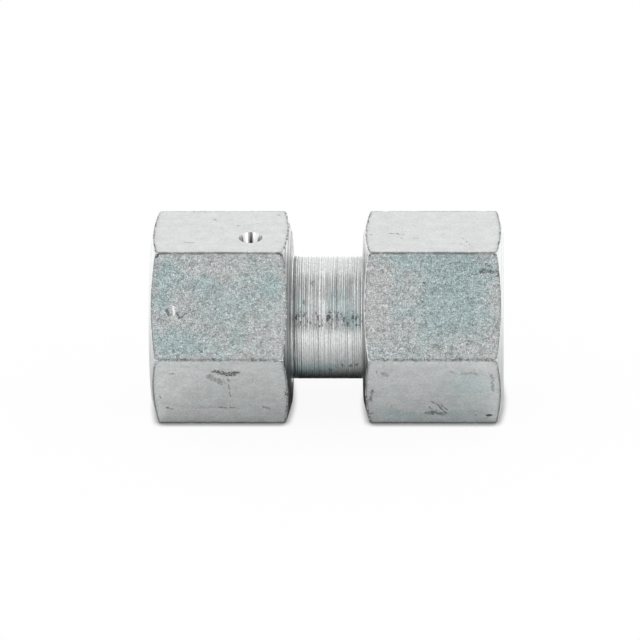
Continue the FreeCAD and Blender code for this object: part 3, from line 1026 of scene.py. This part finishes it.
def hole_axis(nut, end):
    """Point where the wire filling hole touches the wire's circle, and its direction inwards."""
    along = Vector((0, math.sin(nut.hole_tilt), -math.cos(nut.hole_tilt)))
    outward = Vector((0, math.cos(nut.hole_tilt), math.sin(nut.hole_tilt)))
    about_z, roll = (math.radians(degrees) for degrees in end["hole_turn"])
    turn = Matrix.Rotation(roll, 3, "X") @ Matrix.Rotation(about_z, 3, "Z")
    middle = Vector((end["side"] * (INNER_END + nut.groove_place), 0, 0))
    return middle + turn @ outward * nut.groove_circle, turn @ along


def drill(nut, end):
    """Rings of the wire filling hole: a slanted cylinder with a drill point."""
    touch, along = hole_axis(nut, end)
    cross = Vector((1, 0, 0))
    other = along.cross(cross)
    rings = [[touch + along * reach + nut.hole_radius * (cross * math.cos(turn) + other * math.sin(turn))
              for turn in round_turns(HOLE_STEPS)] for reach in (-2 * nut.apothem, 0)]
    return rings + [[touch + along * (nut.hole_radius / math.tan(nut.hole_point))]]


class CONNECTOR_OT_nuts(bpy.types.Operator):
    """Builds both swivel nuts and drills their wire filling holes"""

    bl_idname = "connector.nuts"
    bl_label = "Swivel nuts"

    def execute(self, context):
        nut = context.scene.connector_nut
        looks = finishes(context.scene)
        turn, radius = hexagon_columns(nut)
        place, away = nut_profile(nut, radius)
        for seed, (word, end) in enumerate(ENDS.items()):
            points = np.stack([
                end["side"] * (INNER_END + place), away * np.cos(turn), away * np.sin(turn)], -1)
            weather_nut(nut, points, place, 31.7 * seed + 5.3)
            mesh = wrapped_grid(end["nut"] + "_skin", points)
            close_up(mesh)
            piece = new_piece(context, mesh.name, mesh)
            cut(context, piece, "drill", drill(nut, end))
            close_up(piece.data)
            for finish in (word.capitalize() + " nut flats", "Turned ends", "Nut bore", "Drilled hole"):
                piece.data.materials.append(looks[finish])
            dress_nut(nut, piece.data, end)
            smooth_with_edges(piece.data)
            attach(piece, end["body"])
            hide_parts(end["nut"])
        return {"FINISHED"}


def outline_mesh(name, points):
    """Line of (along, radius) points that a geometry tree reads."""
    mesh = bpy.data.meshes.new(name)
    mesh.from_pydata([(x, 0, r) for x, r in points], [(i, i + 1) for i in range(len(points) - 1)], [])
    return mesh


def grown(context, name, outline, tree, values):
    """Piece that a geometry tree makes from an outline, as a plain closed mesh."""
    piece = new_piece(context, name, outline)
    modifier = piece.modifiers.new("Grow", "NODES")
    modifier.node_group = tree
    identifiers = {item.name: item.identifier for item in tree.interface.items_tree
                   if item.item_type == "SOCKET" and item.in_out == "INPUT"}
    for key, value in values.items():
        modifier[identifiers[key]] = value
    apply_all(context, piece)
    close_up(piece.data)
    smooth_with_edges(piece.data)
    return piece


def point_count(nodes, geometry):
    """Number of points of a mesh."""
    return nodes.add("GeometryNodeAttributeDomainSize", {0: geometry})["Point Count"]


def outline_point(nodes, outline, row):
    """Along and radius of the outline's point of a row."""
    x, _, z = nodes.add("GeometryNodeSampleIndex", {
        0: outline, "Value": nodes.add("GeometryNodeInputPosition")[0], "Index": row,
    }, data_type="FLOAT_VECTOR")[0].parts()
    return x, z


def unit_grid(nodes, across, along):
    """Grid of 1 x 1, and the share of it that lies before each point, both ways."""
    grid = nodes.add("GeometryNodeMeshGrid", {
        "Size X": 1.0, "Size Y": 1.0, "Vertices X": across, "Vertices Y": along})["Mesh"]
    x, y, _ = nodes.add("GeometryNodeInputPosition")[0].parts()
    return grid, x + 0.5, y + 0.5


def wrap_round(nodes, grid, along, radius, turns, material):
    """Sets the grid round the axis, welds it and gives it its material."""
    turn = turns * (2 * math.pi)
    geometry = nodes.add("GeometryNodeSetPosition", {"Geometry": grid, "Position": nodes.joined(
        along, radius * nodes.math("COSINE", turn), radius * nodes.math("SINE", turn))})[0]
    for kind, inputs in (("MergeByDistance", {"Distance": WELD}), ("RealizeInstances", {}),
                         ("SetMaterial", {"Material": material})):
        geometry = nodes.add("GeometryNode" + kind, {"Geometry": geometry, **inputs})[0]
    nodes.give(Geometry=geometry)
    return nodes.tree


def turned_body_tree():
    """Turns an outline round X and cuts uneven tool rings into a stretch of it."""
    nodes, given = new_tree("Turned body", {
        "Outline": "Geometry", "Segments": 128, "Ring Pitch": 0.0004, "Ring Depth": 0.00002,
        "Ring Reach": 0.005, "Seed": 1, "Material": "Material"}, ("Geometry",), "Geometry")
    rows, reach = point_count(nodes, given["Outline"]), given["Ring Reach"]
    grid, down, around = unit_grid(nodes, rows, given["Segments"] + 1)
    along, radius = outline_point(nodes, given["Outline"], nodes.math("ROUND", down * (rows - 1)))
    steps = along / given["Ring Pitch"]
    wave = nodes.math("COSINE", steps * (2 * math.pi)) * 0.5 + 0.5
    uneven = nodes.joined(steps, given["Seed"], 0.0).noise(2.3, 2.0, 0.6).ramp(0.38, 0.66, 0.2, 1.5)
    deeper_left = along.ramp(reach * -0.82, reach * -0.76, 2.0, 1.0)
    bare = abs(along).fall(reach * 0.98, reach * 1.04)
    outside = nodes.math("GREATER_THAN", radius, 8 * MM)
    depth = wave * uneven * deeper_left * bare * (given["Ring Depth"] * outside)
    return wrap_round(nodes, grid, along, radius - depth, around, given["Material"])


def thread_tree():
    """Winds a thread section along X, fading to a point at both ends."""
    nodes, given = new_tree("Thread ridge", {
        "Outline": "Geometry", "Pitch": 0.0015, "Wall Radius": 0.011, "Start": 0.0, "End": 0.01,
        "Run Out": 0.0008, "Steps": 800, "Material": "Material"}, ("Geometry",), "Geometry")
    corners = point_count(nodes, given["Outline"])
    grid, down, around = unit_grid(nodes, given["Steps"] + 1, corners + 1)
    row = nodes.math("ROUND", around * corners) % corners
    offset, radius = outline_point(nodes, given["Outline"], row)
    wall, reach = given["Wall Radius"], given["End"] - given["Start"]
    middle = given["Start"] + down * reach
    grow = nodes.least(nodes.least(down, 1.0 - down) * abs(reach) / given["Run Out"], 1.0)
    return wrap_round(nodes, grid, middle + offset * grow, wall - (wall - radius) * grow,
                      middle / given["Pitch"], given["Material"])


class CONNECTOR_OT_threads(bpy.types.Operator):
    """Winds the thread inside each nut"""

    bl_idname = "connector.threads"
    bl_label = "Nut threads"

    def execute(self, context):
        nut, thread = context.scene.connector_nut, context.scene.connector_thread
        material = finishes(context.scene)["Nut bore"]
        tree = thread_tree()
        wall = nut.thread_root + thread.sunk
        base = (thread.pitch - thread.root_width) / 2
        crest = thread.crest_width / 2
        section = [(-base, wall), (-crest, nut.thread_crest), (crest, nut.thread_crest), (base, wall)]
        start = INNER_END + nut.thread_start - thread.pitch / 4
        stop = INNER_END + NUT_LENGTH - (nut.mouth - nut.thread_root) - thread.pitch / 3
        turns = (stop - start) / thread.pitch
        for word, end in ENDS.items():
            piece = grown(context, word + "_nut_thread", outline_mesh("thread section", section), tree, {
                "Pitch": thread.pitch, "Wall Radius": wall, "Start": end["side"] * start,
                "End": end["side"] * stop, "Run Out": thread.run_out,
                "Steps": round(turns * thread.steps_per_turn), "Material": material})
            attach(piece, end["body"])
        return {"FINISHED"}


def half_body(body, nut):
    """Outline (along, radius) from the middle of the shank to the middle of the bore."""
    def cone(x):
        return x, body.nose_base - (x - body.nose_start) * math.tan(body.nose_angle)

    first = math.asin((nut.groove_circle - body.shank) / nut.groove_radius)
    points = [(x, body.shank) for x in np.linspace(0, INNER_END, SHANK_ROWS)]
    points += groove_arc(nut, INNER_END + nut.groove_place,
                         np.linspace(math.pi + first, 2 * math.pi - first, 15))
    points += [(body.nose_start - (body.shank - body.nose_base), body.shank), (body.nose_start, body.nose_base)]
    near, far = (body.ring_place + s * body.ring_groove_half for s in (-1, 1))
    points += [cone(x) for x in np.linspace(body.nose_start, near, 5)[1:]]
    points += [(near, body.ring_groove_root), (far, body.ring_groove_root), cone(far)]
    points += [cone(body.nose_end - body.tip_chamfer),
               (body.nose_end, cone(body.nose_end)[1] - body.tip_chamfer),
               (body.nose_end, body.bore + body.bore_break)]
    return points + [(x, body.bore) for x in np.linspace(body.nose_end - body.bore_break, 0, 10)]


def hook_pocket(body, nut, side):
    """Rings that follow the bend and the straight end of a wire's hook."""
    bends = 10
    out = Vector((0, math.cos(body.hook_angle), math.sin(body.hook_angle)))
    on = Vector((0, -math.sin(body.hook_angle), math.cos(body.hook_angle)))
    centre = out * (nut.groove_circle - body.hook_bend)
    path = []
    for k in range(bends + 1):
        turn = math.pi / 2 * k / bends
        away = out * math.cos(turn) - on * math.sin(turn)
        path.append((centre + away * body.hook_bend, away))
    path.append((path[-1][0] - out * body.hook_reach, path[-1][1]))
    cross = Vector((1, 0, 0))
    rings = [[spot + body.pocket_radius * (away * math.cos(turn) + cross * math.sin(turn))
              for turn in round_turns(POCKET_STEPS)] for spot, away in path]
    middle = INNER_END + nut.groove_place
    return [[(side * (point.x + middle), side * point.y, point.z) for point in ring] for ring in rings]


class CONNECTOR_OT_body(bpy.types.Operator):
    """Turns the connector body with its tool rings, noses, grooves and bore"""

    bl_idname = "connector.body"
    bl_label = "Turned body"

    def execute(self, context):
        body, nut = context.scene.connector_body, context.scene.connector_nut
        half = half_body(body, nut)
        outline = half + [(-x, r) for x, r in reversed(half)][1:]
        piece = grown(context, "turned_body", outline_mesh("body outline", outline), turned_body_tree(), {
            "Segments": body.segments, "Ring Pitch": body.ring_pitch, "Ring Depth": body.ring_depth,
            "Ring Reach": INNER_END, "Seed": body.ring_seed,
            "Material": finishes(context.scene)["Turned shank"]})
        for end in ENDS.values():
            cut(context, piece, "hook pocket", hook_pocket(body, nut, end["side"]))
        close_up(piece.data)
        smooth_with_edges(piece.data)
        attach(piece, "connector")
        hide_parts("connector_body")
        return {"FINISHED"}


class CONNECTOR_OT_wires_and_rings(bpy.types.Operator):
    """Gives the retaining wires and O-rings their finishes"""

    bl_idname = "connector.wires_and_rings"
    bl_label = "Wires and O-rings"

    def execute(self, context):
        looks = finishes(context.scene)
        for word in ENDS:
            for node, finish in (("_retaining_wire", "Drawn spring wire"), ("_o_ring", "Moulded rubber")):
                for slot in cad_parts[word + node].material_slots:
                    slot.material = looks[finish]
        return {"FINISHED"}


# ---- Stage

def plain_sheet(context, name, points, faces, material):
    """Stage mesh with one material."""
    mesh = bpy.data.meshes.new(name)
    mesh.from_pydata(points, [], faces)
    mesh.materials.append(material)
    sheet = new_piece(context, name, mesh)
    return sheet


def emptied(block, kind):
    """Nodes of a material or world with nothing left but its output."""
    block.use_nodes = True
    block.node_tree.nodes.clear()
    nodes = Nodes(block.node_tree)
    nodes.last = nodes.node(kind)
    return nodes


def floor_material(lift):
    """White floor with a painted tight contact shade, lifted to white for the camera, and open from below. What
    the metal mirrors carries a painted wider shade, a painted dark patch under the shank and a painted glow
    behind and in front.
    """
    material = bpy.data.materials.new("White floor")
    nodes = emptied(material, "ShaderNodeOutputMaterial")
    path = nodes.add("ShaderNodeLightPath")
    camera = path["Is Camera Ray"]
    x, y, _ = nodes.add("ShaderNodeTexCoord")["Object"].scaled(1 / MM).parts()
    near, wide = (nodes.add("ShaderNodeAmbientOcclusion", {"Distance": reach * MM}, samples=samples)["AO"]
                  for reach, samples in ((1.3, 8), (14, 4)))
    seen = nodes.glow(nodes.blend(near.ramp(0.2, 0.95), (0.25, 0.25, 0.25), WHITE), 1.0)
    # Painted shadow: the floor seen from the metal is darkened near the connector by ambient occlusion, and
    # under the shank between the nuts
    beside = nodes.most(abs(y).ramp(0.0, 9.0, 0.07, 1.0), abs(x).ramp(5.0, 9.0))
    grey = nodes.blend(wide.ramp(0.02, 0.3) * beside, (0.02, 0.02, 0.02), (0.87, 0.87, 0.87))
    diffuse = nodes.add("ShaderNodeBsdfDiffuse", {"Color": nodes.blend(camera, grey, WHITE)})[0]
    # Painted reflection: the floor glows for glossy rays behind and in front of the connector, so the metal
    # mirrors it brighter
    in_front = y.ramp(-50.0, -10.0, 0.27, 0.0) * y.ramp(-140.0, -50.0, 0.5, 1.0)
    painted_reflection_glow = path["Is Glossy Ray"] * (y.ramp(8.0, 40.0, 0.0, 0.45) + in_front)
    lit = nodes.add("ShaderNodeAddShader", {0: diffuse, 1: nodes.glow(WHITE, painted_reflection_glow)})[0]
    from_below = nodes.add("ShaderNodeNewGeometry")["Backfacing"]
    nodes.give(Surface=nodes.mixed(from_below, nodes.mixed(camera * lift, lit, seen),
                                   nodes.add("ShaderNodeBsdfTransparent")[0]))
    return material


# Grey of the studio in front of and over the connector: degrees up from the front horizon, level
ROOM_LEVELS = (
    (0, 0.18), (10, 0.32), (17, 0.34), (21, 0.22), (26, 0.22), (29, 0.36), (36, 0.48), (48, 0.48),
    (60, 0.37), (92, 0.38), (106, 0.52), (116, 0.88), (135, 0.97),
)
ROOM_STEP = 1.5
ROOM_RADIUS = 0.55
# Half width of the grey strip, of its fade to the bright sides, and of the whole room
ROOM_COLUMNS = (0.19, 0.27, 0.6)
SIDE_LEVEL = 1.4
FLOOR_HALF = 2.0


def studio_room(context):
    """Curved screen in front and overhead, grey with bright sides, which the camera doesn't see."""
    material = bpy.data.materials.new("Studio room")
    nodes = emptied(material, "ShaderNodeOutputMaterial")
    nodes.give(Surface=nodes.glow(WHITE, nodes.attribute("level")))
    angles, greys = zip(*ROOM_LEVELS)
    steps = np.arange(angles[0], angles[-1] + 1, ROOM_STEP)
    columns = [-x for x in reversed(ROOM_COLUMNS)] + list(ROOM_COLUMNS)
    points, levels = [], []
    for step, grey in zip(np.radians(steps), np.interp(steps, angles, greys)):
        for x in columns:
            points.append((x, -ROOM_RADIUS * math.cos(step), ROOM_RADIUS * math.sin(step) - APOTHEM))
            levels.append(grey if abs(x) <= ROOM_COLUMNS[0] else SIDE_LEVEL)
    wide = len(columns)
    faces = [(i, i + 1, i + wide + 1, i + wide)
             for i in range(len(points) - wide) if i % wide != wide - 1]
    screen = plain_sheet(context, "studio_room", points, faces, material)
    screen.data.attributes.new("level", "FLOAT", "POINT").data.foreach_set("value", levels)
    screen.visible_camera = screen.visible_diffuse = screen.visible_shadow = False


class CONNECTOR_OT_stage(bpy.types.Operator):
    """Sets the floor, the studio light and the camera"""

    bl_idname = "connector.stage"
    bl_label = "Stage"

    def execute(self, context):
        stage, scene = context.scene.connector_stage, context.scene
        corners = [(x * FLOOR_HALF, y * FLOOR_HALF, -APOTHEM) for x, y in ((-1, -1), (1, -1), (1, 1), (-1, 1))]
        plain_sheet(context, "floor", corners, [(0, 1, 2, 3)], floor_material(stage.floor_lift))
        studio_room(context)
        scene.world = bpy.data.worlds.new("White studio")
        nodes = emptied(scene.world, "ShaderNodeOutputWorld")
        nodes.give(Surface=nodes.add("ShaderNodeBackground", {"Color": WHITE, "Strength": 1.0})[0])

        camera = bpy.data.objects.new("camera", bpy.data.cameras.new("camera"))
        camera.data.lens = camera.data.sensor_width * stage.distance / stage.frame_width
        camera.data.clip_start, camera.data.clip_end = 0.05, 20
        level = math.cos(stage.elevation)
        back = Vector((math.sin(stage.azimuth) * level, -math.cos(stage.azimuth) * level,
                       math.sin(stage.elevation)))
        along = Vector((1, 0, 0))
        right = (along - back * along.dot(back)).normalized()
        up = back.cross(right)
        camera.location = right * stage.aim_x + up * stage.aim_up + back * stage.distance
        camera.rotation_euler = Matrix((right, up, back)).transposed().to_euler()
        scene.collection.objects.link(camera)
        scene.camera = camera
        scene.view_settings.view_transform = "Standard"
        return {"FINISHED"}


OPERATORS = (
    CONNECTOR_OT_nuts, CONNECTOR_OT_threads, CONNECTOR_OT_body, CONNECTOR_OT_wires_and_rings,
    CONNECTOR_OT_stage,
)


class CONNECTOR_PT_pieces(bpy.types.Panel):
    """Lists the pieces of the connector in the sidebar"""

    bl_idname = "CONNECTOR_PT_pieces"
    bl_label = "Straight connector"
    bl_space_type = "VIEW_3D"
    bl_region_type = "UI"
    bl_category = "Connector"

    def draw(self, context):
        for operator in OPERATORS:
            self.layout.operator(operator.bl_idname)
        for name, group in SETTINGS.items():
            box = self.layout.box()
            box.label(text=group.__doc__.split(".")[0])
            for key in group.__annotations__:
                box.prop(getattr(context.scene, name), key)


def register():
    """Registers every class and the settings on the scene."""
    for name, group in SETTINGS.items():
        bpy.utils.register_class(group)
        setattr(bpy.types.Scene, name, bpy.props.PointerProperty(type=group))
    for kind in (*OPERATORS, CONNECTOR_PT_pieces):
        bpy.utils.register_class(kind)


def unregister():
    """Takes back all that register did."""
    for kind in reversed((*OPERATORS, CONNECTOR_PT_pieces)):
        bpy.utils.unregister_class(kind)
    for name, group in reversed(SETTINGS.items()):
        delattr(bpy.types.Scene, name)
        bpy.utils.unregister_class(group)


def main():
    """Makes every piece in order."""
    register()
    bpy.ops.connector.nuts()
    bpy.ops.connector.threads()
    bpy.ops.connector.body()
    bpy.ops.connector.wires_and_rings()
    bpy.ops.connector.stage()


if __name__ == "__main__":
    main()
